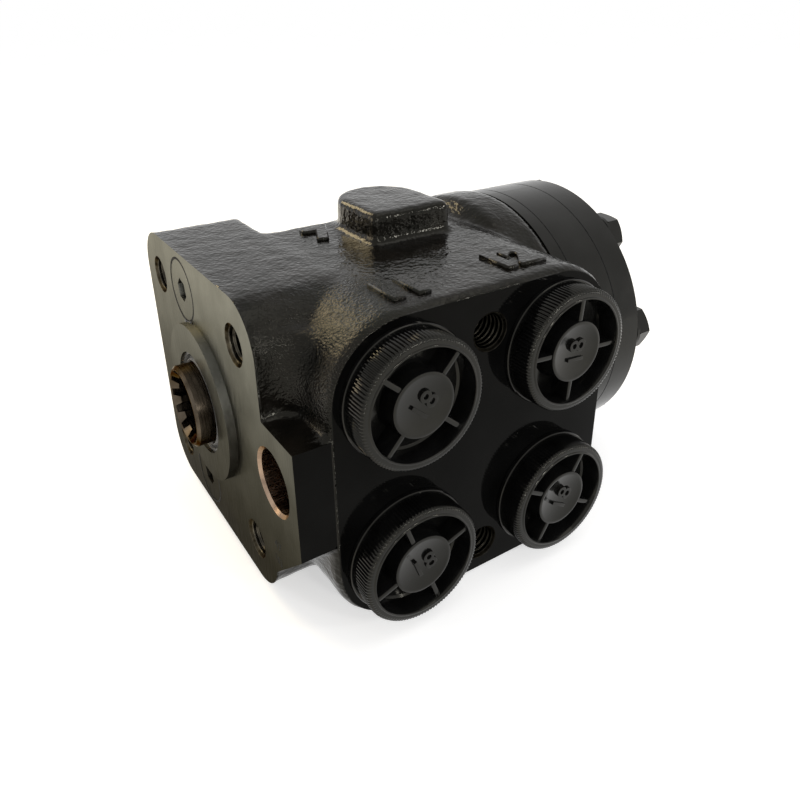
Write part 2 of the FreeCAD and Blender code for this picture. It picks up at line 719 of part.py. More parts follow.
def gear_ring():
    valley = GEAR_PITCH_R + 2 * ECCENTRICITY - LOBE_R + 2 * GEAR_PLAY
    parts = [tube_x(STACK_R, valley, PLATE_END, RING_END)]
    for angle in SCREW_ANGLES:
        y, z = polar(GEAR_PITCH_R, angle)
        parts.append(rod_x(LOBE_R - GEAR_PLAY, PLATE_END, RING_END, y, z))
    return fuse_all(parts).cut(screw_holes(PLATE_END - 1, RING_END + 1))


def distributor_plate():
    plate = tube_x(STACK_R, PLATE_HOLE_R, HOUSING_END, PLATE_END)
    cuts = screw_holes(HOUSING_END - 1, PLATE_END + 1)
    for angle in SCREW_ANGLES:
        y, z = polar(FEED_CIRCLE, angle + 180.0 / RING_LOBES)
        cuts.append(rod_x(FEED_HOLE_R, HOUSING_END - 1, PLATE_END + 1, y, z))
    cuts.append(face_groove(PLATE_END - FACE_GROOVE_DEPTH, PLATE_END + 1))
    return plate.cut(cuts)


def end_cover():
    profile = [(RING_END, 0), (RING_END, STACK_R), (COVER_END - COVER_CHAMFER, STACK_R),
               (COVER_END, STACK_R - COVER_CHAMFER), (COVER_END, 0)]
    cuts = screw_holes(RING_END - 1, COVER_END + 1)
    cuts.append(face_groove(RING_END - 1, RING_END + FACE_GROOVE_DEPTH))
    return spun(profile, vec(0, 0, 0), vec(1, 0, 0)).cut(cuts)


def face_seals():
    rings = []
    inset = FACE_GROOVE_DEPTH / 2
    half = inset - SEAT_PLAY / 2
    for x in (HOUSING_END - inset, PLATE_END - inset, RING_END + inset):
        rings.append(tube_x(FACE_SEAL_R + FACE_SEAL_WIRE, FACE_SEAL_R - FACE_SEAL_WIRE,
                            x - half, x + half))
    return rings


def hex_screw(angle):
    y, z = polar(SCREW_CIRCLE, angle)
    head = hex_prism(SCREW_FLATS, HEAD_SEAT, HEAD_SEAT + SCREW_HEAD, y, z, angle)
    corner = SCREW_FLATS / math.sqrt(3)
    crown = spun([(0, 0), (0, corner), (SCREW_HEAD - 1.0, corner),
                  (SCREW_HEAD, corner - 1.7), (SCREW_HEAD, 0)],
                 vec(HEAD_SEAT, y, z), vec(1, 0, 0))
    shank = rod_x(SCREW_R, SCREW_TIP, HEAD_SEAT + 1, y, z)
    return head.common(crown).fuse(shank).removeSplitter()


def cover_screws():
    return [hex_screw(angle) for angle in SCREW_ANGLES[1:]]


def pin_screw():
    """The screw whose tip carries a short pin."""
    y, z = polar(SCREW_CIRCLE, SCREW_ANGLES[0])
    pin = rod_x(SCREW_R - 1.2, SCREW_TIP - 0.8, SCREW_TIP + 1, y, z)
    return hex_screw(SCREW_ANGLES[0]).fuse(pin)


def screw_washers():
    washers = []
    for angle in SCREW_ANGLES:
        y, z = polar(SCREW_CIRCLE, angle)
        washers.append(tube_x(WASHER_R, SCREW_R + SEAT_PLAY, COVER_END, HEAD_SEAT, y, z))
    return washers


def drive_spacer():
    y, z = rotor_centre()
    end = RING_END - SPACER_PLAY
    return rod_x(DRIVE_MINOR_R - 0.3, end - SPACER_THICK, end, y, z)


def cardan_shaft():
    """Shaft along X at first: fork over the cross pin, neck, splined head, then tilted."""
    reach = DRIVE_CROSS - PIN_X
    head = reach - HEAD_HALF
    tip = DRIVE_MAJOR_R - DRIVE_PLAY
    root = DRIVE_MINOR_R - DRIVE_PLAY - 0.3
    profile = [(-FORK_FRONT, 0), (-FORK_FRONT, FORK_R - 1.5), (-FORK_FRONT + 1.5, FORK_R),
               (FORK_BACK, FORK_R), (FORK_BACK + 3, NECK_R), (head - HEAD_SHOULDER, NECK_R),
               (head, root), (reach + HEAD_HALF, root), (reach + HEAD_HALF, 0)]
    shaft = spun(profile, vec(0, 0, 0), vec(1, 0, 0))
    teeth = spline_prism(root, tip, head, reach + HEAD_HALF, DRIVE_PLAY)
    crown = spun([(head, 0), (head, tip - 0.5), (head + 1.2, tip),
                  (reach + HEAD_HALF - 1.2, tip), (reach + HEAD_HALF, tip - 0.5),
                  (reach + HEAD_HALF, 0)], vec(0, 0, 0), vec(1, 0, 0))
    teeth = teeth.common(crown)
    teeth.rotate(vec(0, 0, 0), vec(1, 0, 0), GEAR_PHASE)
    shaft = shaft.fuse(teeth).removeSplitter()
    half = PIN_R + FORK_PLAY
    slot = Part.makeBox(FORK_FRONT + 1 + FORK_SLOT_BACK, 2 * half, 4 * FORK_R,
                        vec(-FORK_FRONT - 1, -half, -2 * FORK_R))
    bottom = rod_between(half, vec(FORK_SLOT_BACK, 0, -2 * FORK_R),
                         vec(FORK_SLOT_BACK, 0, 2 * FORK_R))
    shaft = shaft.cut([slot, bottom])
    y, z = rotor_centre()
    tilt = FreeCAD.Rotation(vec(1, 0, 0), vec(reach, y, z))
    shaft.Placement = FreeCAD.Placement(vec(PIN_X, 0, 0), tilt)
    return shaft


def valve_plug(z):
    plug = rod_x(VALVE_PLUG_R, 0.05, VALVE_PLUG_LENGTH - SEAT_PLAY, VALVE_Y, z)
    socket = hex_prism(VALVE_SOCKET, -1, VALVE_SOCKET_DEPTH, VALVE_Y, z,
                       VALVE_SOCKET_TURN)
    return plug.cut(socket)


def valve_ball(z):
    """Ball on its seat at the inner end of the valve cavity."""
    sink = math.sqrt(VALVE_BALL_R ** 2 - (VALVE_SEAT_R + SEAT_PLAY) ** 2)
    return Part.makeSphere(VALVE_BALL_R, vec(VALVE_CAVITY_END - sink - SEAT_PLAY, VALVE_Y, z))


def valve_spring(z):
    """Square-wire coil between the plug and the ball."""
    sink = math.sqrt(VALVE_BALL_R ** 2 - (VALVE_SEAT_R + SEAT_PLAY) ** 2)
    start = VALVE_PLUG_LENGTH + COIL_WIRE / 2 + SEAT_PLAY
    ball = VALVE_CAVITY_END - sink - SEAT_PLAY
    end = ball - VALVE_BALL_R * 0.4 - COIL_WIRE
    height = end - start
    helix = Part.makeHelix(height / COIL_TURNS, height, COIL_R)
    half = COIL_WIRE / 2
    section = Part.makePolygon([vec(COIL_R - half, 0, -half), vec(COIL_R + half, 0, -half),
                                vec(COIL_R + half, 0, half), vec(COIL_R - half, 0, half),
                                vec(COIL_R - half, 0, -half)])
    coil = Part.Wire(helix).makePipeShell([section], True, True)
    coil.Placement = FreeCAD.Placement(vec(start, VALVE_Y, z),
                                       FreeCAD.Rotation(vec(0, 0, 1), vec(1, 0, 0)))
    return coil


def check_bushing():
    x, z = PORTS[1]
    start = check_bush_y()
    return spun([(0, CHECK_BUSH_R), (0, CHECK_BORE_R - SEAT_PLAY),
                 (CHECK_BUSH_LENGTH, CHECK_BORE_R - SEAT_PLAY),
                 (CHECK_BUSH_LENGTH, CHECK_BUSH_R)], vec(x, start, z), vec(0, 1, 0))


def check_bush_y():
    return -PORT_FACE + PORT_DEPTH + PORT_R * PORT_DRILL_POINT


def check_ball_y():
    rise = math.sqrt(CHECK_BALL_R ** 2 - CHECK_BUSH_R ** 2)
    return check_bush_y() + CHECK_BUSH_LENGTH + rise + SEAT_PLAY


def check_ball():
    x, z = PORTS[1]
    return Part.makeSphere(CHECK_BALL_R, vec(x, check_ball_y(), z))


def suction_ball(index):
    y, z = polar(SCREW_CIRCLE, SCREW_ANGLES[index])
    return Part.makeSphere(SUCTION_BALL_R, vec(SUCTION_SEAT + SUCTION_BALL_R + SEAT_PLAY, y, z))


def suction_pins():
    pins = []
    for index in SUCTION_INDEXES:
        y, z = polar(SCREW_CIRCLE, SCREW_ANGLES[index])
        end = SCREW_TIP - SEAT_PLAY
        pins.append(rod_x(SUCTION_PIN_R, end - SUCTION_PIN_LENGTH, end, y, z))
    return pins


def port_plug(index):
    """Cap with a knurled rim, four spokes and a hub, on a hollow stub in the port."""
    x, z = PORTS[index]
    wall = PLUG_STUB_R - PLUG_STUB_WALL
    profile = [(-PLUG_STUB_LENGTH, wall), (-PLUG_STUB_LENGTH, PLUG_STUB_R - 0.6),
               (0.6 - PLUG_STUB_LENGTH, PLUG_STUB_R), (PLUG_GAP, PLUG_STUB_R),
               (PLUG_GAP, PLUG_R), (PLUG_BASE, PLUG_R), (PLUG_BASE, PLUG_R - PLUG_RIM_STEP),
               (PLUG_HEIGHT - 1.0, PLUG_R - PLUG_RIM_STEP), (PLUG_HEIGHT, PLUG_R - 1.2),
               (PLUG_HEIGHT, PLUG_WINDOW_R), (PLUG_FLOOR, PLUG_WINDOW_R),
               (PLUG_FLOOR, PLUG_HUB_R), (PLUG_HEIGHT - 0.6, PLUG_HUB_R),
               (PLUG_HEIGHT - 0.6, 0), (PLUG_HEIGHT - 2.2, 0), (PLUG_HEIGHT - 2.2, wall - 1.5),
               (0, wall)]
    cap = spun(profile, vec(0, 0, 0), vec(0, 0, 1))
    spokes = []
    for k in range(4):
        spoke = Part.makeBox(PLUG_WINDOW_R - PLUG_HUB_R + 1, PLUG_SPOKE, PLUG_HEIGHT - PLUG_FLOOR,
                             vec(PLUG_HUB_R - 0.5, -PLUG_SPOKE / 2, PLUG_FLOOR - 0.3))
        spoke.rotate(vec(0, 0, 0), vec(0, 0, 1), PLUG_ANGLES[index] + 90.0 * k)
        spokes.append(spoke)
    cap = fuse_all([cap] + spokes)
    cap.Placement = FreeCAD.Placement(vec(x, -PORT_FACE, z),
                                      FreeCAD.Rotation(vec(0, 0, 1), vec(0, -1, 0)))
    return cap


def subparts():
    nodes = {
        "housing": housing(),
        "dust_seal": dust_seal(),
        "shaft_seal": shaft_seal(),
        "bearing_outer_race": bearing_race(BEARING_START),
        "needle_cage": needle_cage(),
        "thrust_needles": needles(),
        "bearing_inner_race": bearing_race(CAGE_END),
        "control_sleeve": control_sleeve(),
        "cross_pin": cross_pin(),
        "neutral_springs": neutral_springs(),
        "spring_band": spring_band(),
        "control_spool": control_spool(),
        "distributor_plate": distributor_plate(),
        "gear_ring": gear_ring(),
        "rotor": rotor(),
        "cardan_shaft": cardan_shaft(),
        "drive_spacer": drive_spacer(),
        "end_cover": end_cover(),
        "face_seals": face_seals(),
        "cover_screws": cover_screws(),
        "pin_screw": pin_screw(),
        "screw_washers": screw_washers(),
        "check_bushing": check_bushing(),
        "check_ball": check_ball(),
        "suction_pins": suction_pins(),
    }
    for name, z in (("upper", VALVE_Z), ("lower", -VALVE_Z)):
        nodes["valve_plug_" + name] = valve_plug(z)
        nodes["valve_ball_" + name] = valve_ball(z)
        nodes["valve_spring_" + name] = valve_spring(z)
    for number, index in enumerate(SUCTION_INDEXES, 1):
        nodes["suction_ball_%d" % number] = suction_ball(index)
    for index in range(len(PORTS)):
        nodes["port_plug_%d" % (index + 1)] = port_plug(index)
    return nodes


def main():
    os.makedirs("parts", exist_ok=True)
    for name, shape in subparts().items():
        if isinstance(shape, list):
            shape = Part.makeCompound(shape)
        shape.exportStep("parts/%s.step" % name)


main()
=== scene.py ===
import math

import bmesh
import bpy
import numpy as np
from mathutils import Matrix, Vector, noise
from mathutils.bvhtree import BVHTree
from mathutils.kdtree import KDTree


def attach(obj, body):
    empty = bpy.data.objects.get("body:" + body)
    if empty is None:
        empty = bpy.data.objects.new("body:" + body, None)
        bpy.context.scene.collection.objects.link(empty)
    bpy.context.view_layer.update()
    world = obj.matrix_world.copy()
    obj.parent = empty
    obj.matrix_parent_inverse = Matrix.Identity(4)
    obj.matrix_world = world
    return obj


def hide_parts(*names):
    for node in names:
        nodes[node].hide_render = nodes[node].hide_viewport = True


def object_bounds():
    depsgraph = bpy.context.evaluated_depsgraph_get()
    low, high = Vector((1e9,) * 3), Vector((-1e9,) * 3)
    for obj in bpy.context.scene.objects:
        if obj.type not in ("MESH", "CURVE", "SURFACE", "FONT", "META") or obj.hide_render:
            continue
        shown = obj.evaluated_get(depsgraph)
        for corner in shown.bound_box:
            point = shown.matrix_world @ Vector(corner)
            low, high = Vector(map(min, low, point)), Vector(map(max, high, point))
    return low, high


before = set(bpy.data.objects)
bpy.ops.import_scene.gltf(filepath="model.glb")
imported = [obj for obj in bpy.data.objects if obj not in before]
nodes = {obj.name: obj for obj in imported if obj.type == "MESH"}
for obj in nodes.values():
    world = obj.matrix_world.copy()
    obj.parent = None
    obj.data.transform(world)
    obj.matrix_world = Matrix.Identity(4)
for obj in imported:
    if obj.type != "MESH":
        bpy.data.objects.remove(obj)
cad_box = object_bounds()

MM = 0.001

# Camera, fitted to the photograph
CAMERA_PLACE = (-49.848, -179.145, 103.729)
CAMERA_TURN = (64.702, 0.801, -32.928)
CAMERA_FOCAL_PX = 720.69
CAMERA_CENTRE_PX = (396.78, 334.56)
PHOTO_PX = 800.0
SENSOR = 36.0

# Places on the housing, in millimetres, that the finishes and small pieces use
PORT_FACE_Y = -58.5
PORT_XS = (29.3, 76.3)
PORT_ZS = (21.0, -24.9)
BLOCK_TOP = 41.5
HOUSING_END = 100.5
STACK_R = 44.2
STACK_JOINTS = (105.2, 119.0)
VALVE_Y = 8.7
VALVE_Z = 30.8
VALVE_PLUG_R = 8.9
HOLE_PITCH = 1.5
PORT_REACH = 11.2
PORT_END = -40.0
FACE_BOLTS = ((54.0, 29.55), (54.0, -35.45))
FACE_BOLT_REACH = 5.4
FACE_BOLT_END = -43.5
PILOT_CENTRE = (-45.5, -0.5)
PILOT_REACH = 9.2
PILOT_END = 42.0
PILOT_CLEAR = 1.0
CONTROL_BORE_REACH = 23.0
COLUMN_HOLE = 29.15
COLUMN_HOLE_REACH = 5.7
COLUMN_HOLE_END = 24.0

# How far behind a machined plane a point may lie and still count as on it
FACE_TOUCH = 0.02

# Studio
FLOOR_REACH = 60000.0
FLOOR_GLOW = 0.52
WORLD_LIGHT = 0.6

DAYLIGHT = (1.0, 0.99, 0.97)

# Each lamp: name, place, aim, diameter in millimetres, power in watts, colour
LAMPS = (
    ("second window", (475, -556, 200), (55, -17, 49), 55, 0.6, DAYLIGHT),
    ("warm", (-126, 496, 364), (20, -48, 39), 340, 2.2, (1.0, 0.8, 0.46)),
    ("low warm", (-470, 430, 110), (20, -60, 25), 220, 0.5, (1.0, 0.82, 0.55)),
    ("above", (250, -150, 700), (60, 0, 0), 500, 0.6, (1.0, 0.99, 0.96)),
)

# Colour of the gloss on every painted and plastic piece
PAINT_TINT = (1.0, 0.97, 0.84, 1.0)

# The window's panes: compass turn and rise in degrees, seen from the side of the flange
WINDOW_AIM = (10, -42, 33)
WINDOW_PANES = ((-102, 9), (-95, 26), (-84, 14), (-76, 28))
PANE_REACH = 740
PANE_SIZE = 60
PANE_POWER = 0.45

# Casting skin, in millimetres: the remesh's grid, how near a border the skin snaps to it, how
# deep its rim tucks under the machined faces, and the (size, height) of its two reliefs
VOXEL = 0.6
CAST_ROUNDS = 26
EDGE_SNAP = 0.4
RIM_TUCK = 0.12
WELD = 0.001
BORDER_STEP = 0.1
RELIEF_FADE_ROUNDS = 3
SHARP_EDGE = 25.0
# Each stamp: text, y, z, size; each cast mark: text, x, y, size
STAMPS = (("47", -44.5, -20.5, 4.0), ("162", -44.0, -25.5, 3.2))
CAST_MARKS = (("11", 35.0, -48.0, 14.0), ("12", 69.5, -47.0, 14.0), ("7", 39.6, 0.5, 14.0))
RELIEF_COARSE = (4.0, 0.12)
RELIEF_FINE = (1.8, 0.06)
RELIEF_SINK = 0.14
MARK_SINK = 0.4
MARK_HEIGHT = 0.8
MARK_BEVEL = 0.4
MARK_SWELL = 0.65

STAMP_SINK = 0.03
STAMP_HEIGHT = 0.05

# Where the paint is sandiest
SCOOP_CENTRE = (18.0, -51.0, 34.0)
SCOOP_REACH = 24.0

# Dark joint lines
SEAM_STEPS = 180
SEAM_PROUD = 0.02
STACK_SEAM = 0.3
PLUG_SEAM = 0.75
PLUG_SEAM_RIM = 0.45

# Transport plugs
PLUG_ANGLES = (48.0, 85.0, 20.0, 60.0)
PLUG_RIBS = 112
PLUG_RIB_STEPS = 4
PLUG_RIB_DEPTH = 0.42
PLUG_R = 17.3
PLUG_RIM_R = 16.75
PLUG_BASE = 1.4
PLUG_TOP = 8.3
PLUG_WINDOW_R = 14.1
PLUG_HUB_R = 8.3
PLUG_HUB_TOP = 7.7
PLUG_FLOOR = 1.8
PLUG_SPOKE = 1.4
PLUG_SHARP_EDGE = 38.0
PLUG_STUB_R = 9.95
PLUG_STUB_INNER_R = 8.15
PLUG_STUB_LENGTH = 12.0
PLUG_PITCH = 1.814
PLUG_THREAD_DEPTH = 0.9
PLUG_SPOKES = 4
PLUG_NUMBER = "18"
PLUG_NUMBER_SIZE = 7.5
PLUG_NUMBER_SINK = 0.2
PLUG_NUMBER_HEIGHT = 0.45


def mm(*values):
    """Millimetres to a vector in metres."""
    return Vector(values) * MM


def new_object(name, mesh):
    made = bpy.data.objects.new(name, mesh)
    bpy.context.scene.collection.objects.link(made)
    return made


class Shader:
    """A material's node tree with short calls for the nodes that this scene uses."""

    def __init__(self, name, colour, roughness, metallic=0.0, specular=0.5):
        self.material = bpy.data.materials.new(name)
        self.material.use_nodes = True
        self.tree = self.material.node_tree
        self.bsdf = self.tree.nodes["Principled BSDF"]
        self.set("Base Color", (*colour, 1))
        self.set("Roughness", roughness)
        self.set("Metallic", metallic)
        self.set("Specular IOR Level", specular)
        self.place = self.node("ShaderNodeTexCoord").outputs["Object"]
        self.normal = None

    def node(self, kind, **values):
        made = self.tree.nodes.new(kind)
        for name, value in values.items():
            setattr(made, name, value)
        return made

    def link(self, source, target):
        self.tree.links.new(source, target)

    def set(self, socket, value):
        self.bsdf.inputs[socket].default_value = value

    def feed(self, socket, source):
        self.link(source, self.bsdf.inputs[socket])

    def stretched(self, scale):
        mapping = self.node("ShaderNodeMapping")
        mapping.inputs["Scale"].default_value = scale
        self.link(self.place, mapping.inputs["Vector"])
        return mapping.outputs["Vector"]

    def noise(self, size, detail=2.0, stretch=None):
        """Noise whose blotches are about size millimetres across."""
        made = self.node("ShaderNodeTexNoise")
        made.inputs["Scale"].default_value = 1 / (size * MM)
        made.inputs["Detail"].default_value = detail
        made.inputs["Roughness"].default_value = 0.5
        self.link(self.stretched(stretch) if stretch else self.place, made.inputs["Vector"])
        return made.outputs["Fac"]

    def ramp(self, source, stops):
        """Colours or grey levels at places along 0 to 1."""
        made = self.node("ShaderNodeValToRGB")
        elements = made.color_ramp.elements
        while len(elements) < len(stops):
            elements.new(0.5)
        for element, (at, level) in zip(elements, stops):
            element.position = at
            element.color = (*level, 1) if isinstance(level, tuple) else (level,) * 3 + (1,)
        self.link(source, made.inputs["Fac"])
        return made.outputs["Color"]

    def span(self, source, low, high, from_low=0.3, from_high=0.7):
        """The source, stretched from one range to another."""
        made = self.node("ShaderNodeMapRange")
        for socket, value in zip(made.inputs[1:5], (from_low, from_high, low, high)):
            socket.default_value = value
        self.link(source, made.inputs["Value"])
        return made.outputs["Result"]

    def bump(self, source, height):
        """Relief of height millimetres, on top of the bumps added before."""
        made = self.node("ShaderNodeBump")
        made.inputs["Strength"].default_value = 1.0
        made.inputs["Distance"].default_value = height * MM
        self.link(source, made.inputs["Height"])
        if self.normal:
            self.link(self.normal, made.inputs["Normal"])
        self.normal = made.outputs["Normal"]
        self.feed("Normal", self.normal)


def cast_paint():
    """Gloss black paint over an as-cast skin, sandier in the scoop beside the upper port."""
    s = Shader("cast_paint", (0.004, 0.004, 0.003), 0.1, specular=0.165)
    s.set("Specular Tint", PAINT_TINT)
    s.feed("Base Color", s.ramp(s.noise(9, 3), [(0.3, (0.002, 0.002, 0.0015)),
                                                (0.7, (0.006, 0.005, 0.004))]))
    s.feed("Roughness", s.span(s.noise(2.2, 3), 0.06, 0.12))
    away = s.node("ShaderNodeVectorMath", operation="DISTANCE")
    away.inputs[1].default_value = mm(*SCOOP_CENTRE)
    s.link(s.place, away.inputs[0])
    sandy = s.span(away.outputs["Value"], 1.0, 0.12, SCOOP_REACH * MM * 0.7, SCOOP_REACH * MM)
    sand = s.node("ShaderNodeMath", operation="MULTIPLY")
    s.link(s.noise(0.55, 2), sand.inputs[0])
    s.link(sandy, sand.inputs[1])
    s.bump(s.noise(1.3, 1), 0.2)
    s.bump(sand.outputs[0], 0.3)
    return s.material


def smooth_paint():
    """Gloss black paint over a machined face."""
    s = Shader("smooth_paint", (0.003, 0.003, 0.003), 0.05, specular=0.04)
    s.set("Specular Tint", PAINT_TINT)
    s.feed("Base Color", s.ramp(s.noise(14), [(0.35, 0.0015), (0.65, 0.003)]))
    s.feed("Roughness", s.span(s.noise(4, 3), 0.03, 0.09))
    s.bump(s.noise(6, 1), 0.02)
    s.bump(s.noise(1.3, 1), 0.002)
    return s.material


def painted_turning():
    """Gloss black paint over a turned rear part, with the turning still faintly there."""
    s = Shader("painted_turning", (0.005, 0.005, 0.004), 0.16, specular=0.2)
    s.set("Specular Tint", PAINT_TINT)
    s.feed("Base Color", s.ramp(s.noise(12), [(0.35, 0.003), (0.65, 0.007)]))
    s.feed("Roughness", s.span(s.noise(5, 3), 0.10, 0.22))
    s.bump(s.noise(1.4, 1, (3.0, 0.12, 0.12)), 0.006)
    s.bump(s.noise(3.5, 1), 0.015)
    return s.material


def milled_face():
    """Bare iron face, milled, its brownish colour darkened towards the bottom as painted shade.
    """
    s = Shader("milled_face", (0.14, 0.125, 0.1), 0.36, metallic=1.0)
    s.set("Specular Tint", (0.36, 0.36, 0.35, 1))
    blotch = s.ramp(s.noise(11, 4), [(0.3, 0.85), (0.7, 1.1)])
    height = s.node("ShaderNodeSeparateXYZ")
    s.link(s.place, height.inputs[0])
    # Painted shade: the base colour darkens from the top of the face to its bottom, standing in
    # for the dimmer reflection low down.
    painted_shade = s.ramp(s.span(height.outputs["Z"], 0.0, 1.0, -0.035, 0.04),
                  [(0.0, (0.04, 0.036, 0.028)), (0.45, (0.10, 0.097, 0.082)),
                   (1.0, (0.26, 0.262, 0.235))])
    mixed = s.node("ShaderNodeVectorMath", operation="MULTIPLY")
    s.link(blotch, mixed.inputs[0])
    s.link(painted_shade, mixed.inputs[1])
    s.feed("Base Color", mixed.outputs[0])
    s.feed("Roughness", s.span(s.noise(0.5, 2, (1, 1, 0.06)), 0.28, 0.46))
    s.bump(s.noise(0.35, 2, (1, 1, 0.05)), 0.004)
    return s.material


def bored_metal():
    """Shining inside of a bore, warm from the oil on it."""
    s = Shader("bored_metal", (0.3, 0.22, 0.16), 0.22, metallic=1.0)
    s.set("Specular Tint", (0.55, 0.47, 0.38, 1))
    s.feed("Base Color", s.ramp(s.noise(4, 3), [(0.3, (0.16, 0.11, 0.08)),
                                                (0.7, (0.40, 0.29, 0.21))]))
    s.feed("Roughness", s.span(s.noise(0.6, 2, (0.2, 1, 1)), 0.16, 0.32))
    s.bump(s.noise(0.4, 1, (1, 0.1, 0.1)), 0.004)
    return s.material


def dark_thread(name, direction, share):
    """The wall of a tapped hole: a groove every pitch along one axis."""
    s = Shader(name, (0.04, 0.036, 0.03), 0.35, metallic=1.0)
    s.set("Specular Tint", (0.3 * share, 0.28 * share, 0.24 * share, 1))
    s.feed("Base Color", s.ramp(s.noise(2), [(0.3, (0.03 * share, 0.027 * share, 0.022 * share)),
                                             (0.7, (0.10 * share, 0.09 * share, 0.07 * share))]))
    s.feed("Roughness", s.span(s.noise(0.8, 2), 0.25, 0.45))
    turns = s.node("ShaderNodeTexWave", wave_type="BANDS", bands_direction=direction)
    turns.inputs["Scale"].default_value = 2 * math.pi / (20 * HOLE_PITCH * MM)
    s.link(s.place, turns.inputs["Vector"])
    s.bump(turns.outputs["Fac"], HOLE_PITCH * 0.55)
    return s.material


def ground_steel():
    """Bright steel of the shaft stub and the valve pieces."""
    s = Shader("ground_steel", (0.2, 0.17, 0.13), 0.25, metallic=1.0)
    s.set("Specular Tint", (0.36, 0.32, 0.26, 1))
    s.feed("Base Color", s.ramp(s.noise(5, 3), [(0.3, (0.035, 0.027, 0.019)),
                                                (0.7, (0.10, 0.082, 0.062))]))
    s.feed("Roughness", s.span(s.noise(0.5, 2, (1, 0.1, 0.1)), 0.2, 0.34))
    s.bump(s.noise(0.3, 1, (1, 0.08, 0.08)), 0.003)
    return s.material


def seal_rubber():
    """Dull black rubber."""
    s = Shader("seal_rubber", (0.07, 0.07, 0.07), 0.4, specular=0.3)
    s.feed("Base Color", s.ramp(s.noise(2, 3), [(0.3, 0.045), (0.7, 0.09)]))
    s.bump(s.noise(0.5, 2), 0.01)
    return s.material


def plug_plastic():
    """Gloss black moulded plastic of the transport plugs."""
    s = Shader("plug_plastic", (0.004, 0.004, 0.0035), 0.12, specular=0.24)
    s.set("Specular Tint", PAINT_TINT)
    s.feed("Base Color", s.ramp(s.noise(6), [(0.35, 0.0025), (0.65, 0.005)]))
    s.feed("Roughness", s.span(s.noise(1.5, 2), 0.08, 0.15))
    s.bump(s.noise(1.8, 1), 0.006)
    return s.material


def seen_directly(tree):
    """1 for camera, glossy and transmission rays, else 0."""
    path = tree.nodes.new("ShaderNodeLightPath")
    result = path.outputs["Is Camera Ray"]
    for name in ("Is Glossy Ray", "Is Transmission Ray"):
        larger = tree.nodes.new("ShaderNodeMath")
        larger.operation = "MAXIMUM"
        tree.links.new(result, larger.inputs[0])
        tree.links.new(path.outputs[name], larger.inputs[1])
        result = larger.outputs[0]
    return result


def floor_paper():
    """Pale paper: white where the camera or a shiny surface sees it, with the shadow kept."""
    s = Shader("floor_paper", (0.8, 0.8, 0.8), 0.8, specular=0.0)
    s.feed("Base Color", s.ramp(s.noise(60), [(0.3, 0.79), (0.7, 0.81)]))
    glow = s.node("ShaderNodeMath", operation="MULTIPLY")
    glow.inputs[1].default_value = FLOOR_GLOW
    s.link(seen_directly(s.tree), glow.inputs[0])
    s.set("Emission Color", (1, 1, 1, 1))
    s.feed("Emission Strength", glow.outputs[0])
    return s.material


def wear_all(node, material):
    """Give a CAD node one material."""
    mesh = nodes[node].data
    mesh.materials.clear()
    mesh.materials.append(material)


def smooth_by_angle(mesh, angle=32.0):
    """Soft shading across shallow edges and hard shading across sharp ones."""
    mesh.shade_smooth()
    mesh.set_sharp_from_angle(angle=math.radians(angle))


def make_camera():
    """The camera that took the photograph, as it was fitted."""
    camera = bpy.data.cameras.new("camera")
    camera.sensor_width = SENSOR
    camera.lens = CAMERA_FOCAL_PX / PHOTO_PX * SENSOR
    camera.shift_x = 0.5 - CAMERA_CENTRE_PX[0] / PHOTO_PX
    camera.shift_y = CAMERA_CENTRE_PX[1] / PHOTO_PX - 0.5
    camera.clip_start = 0.01
    camera.clip_end = 200
    placed = new_object("camera", camera)
    placed.location = mm(*CAMERA_PLACE)
    placed.rotation_euler = [math.radians(turn) for turn in CAMERA_TURN]
    bpy.context.scene.camera = placed


def make_world():
    """White where the camera or a shiny surface sees it, a softer grey as light."""
    world = bpy.data.worlds.new("studio")
    world.use_nodes = True
    bpy.context.scene.world = world
    tree = world.node_tree
    back = tree.nodes["Background"]
    level = tree.nodes.new("ShaderNodeMapRange")
    level.inputs["To Min"].default_value = WORLD_LIGHT
    level.inputs["To Max"].default_value = 1.0
    tree.links.new(seen_directly(tree), level.inputs["Value"])
    tree.links.new(level.outputs["Result"], back.inputs["Strength"])
    back.inputs["Color"].default_value = (1, 1, 1, 1)


def make_lamp(name, place, aim, size, power, colour):
    """A round lamp at a place, turned to an aim."""
    lamp = bpy.data.lights.new(name, "AREA")
    lamp.shape = "DISK"
    lamp.size = size * MM
    lamp.energy = power
    lamp.color = colour
    placed = new_object(name, lamp)
    placed.location = mm(*place)
    placed.rotation_mode = "QUATERNION"
    placed.rotation_quaternion = (mm(*aim) - mm(*place)).to_track_quat("-Z", "Y")
    placed.visible_camera = False


def seen_from(place, turn, rise, reach):
    """The place in a direction given by compass turn and rise, in millimetres."""
    across = reach * math.cos(math.radians(rise))
    return (place[0] + across * math.cos(math.radians(turn)),
            place[1] + across * math.sin(math.radians(turn)),
            place[2] + reach * math.sin(math.radians(rise)))


def make_lamps():
    for pane, (turn, rise) in enumerate(WINDOW_PANES, 1):
        place = seen_from(WINDOW_AIM, turn, rise, PANE_REACH)
        make_lamp("window pane %d" % pane, place, WINDOW_AIM, PANE_SIZE, PANE_POWER, DAYLIGHT)
    for lamp in LAMPS:
        make_lamp(*lamp)


def make_floor():
    """The paper under the object, at the height of its lowest point."""
    low = cad_box[0].z
    mesh = bpy.data.meshes.new("floor")
    reach = FLOOR_REACH * MM
    corners = [(-reach, -reach, low), (reach, -reach, low), (reach, reach, low),
               (-reach, reach, low)]
    mesh.from_pydata(corners, [], [(0, 1, 2, 3)])
    floor = new_object("floor", mesh)
    floor.data.materials.append(floor_paper())


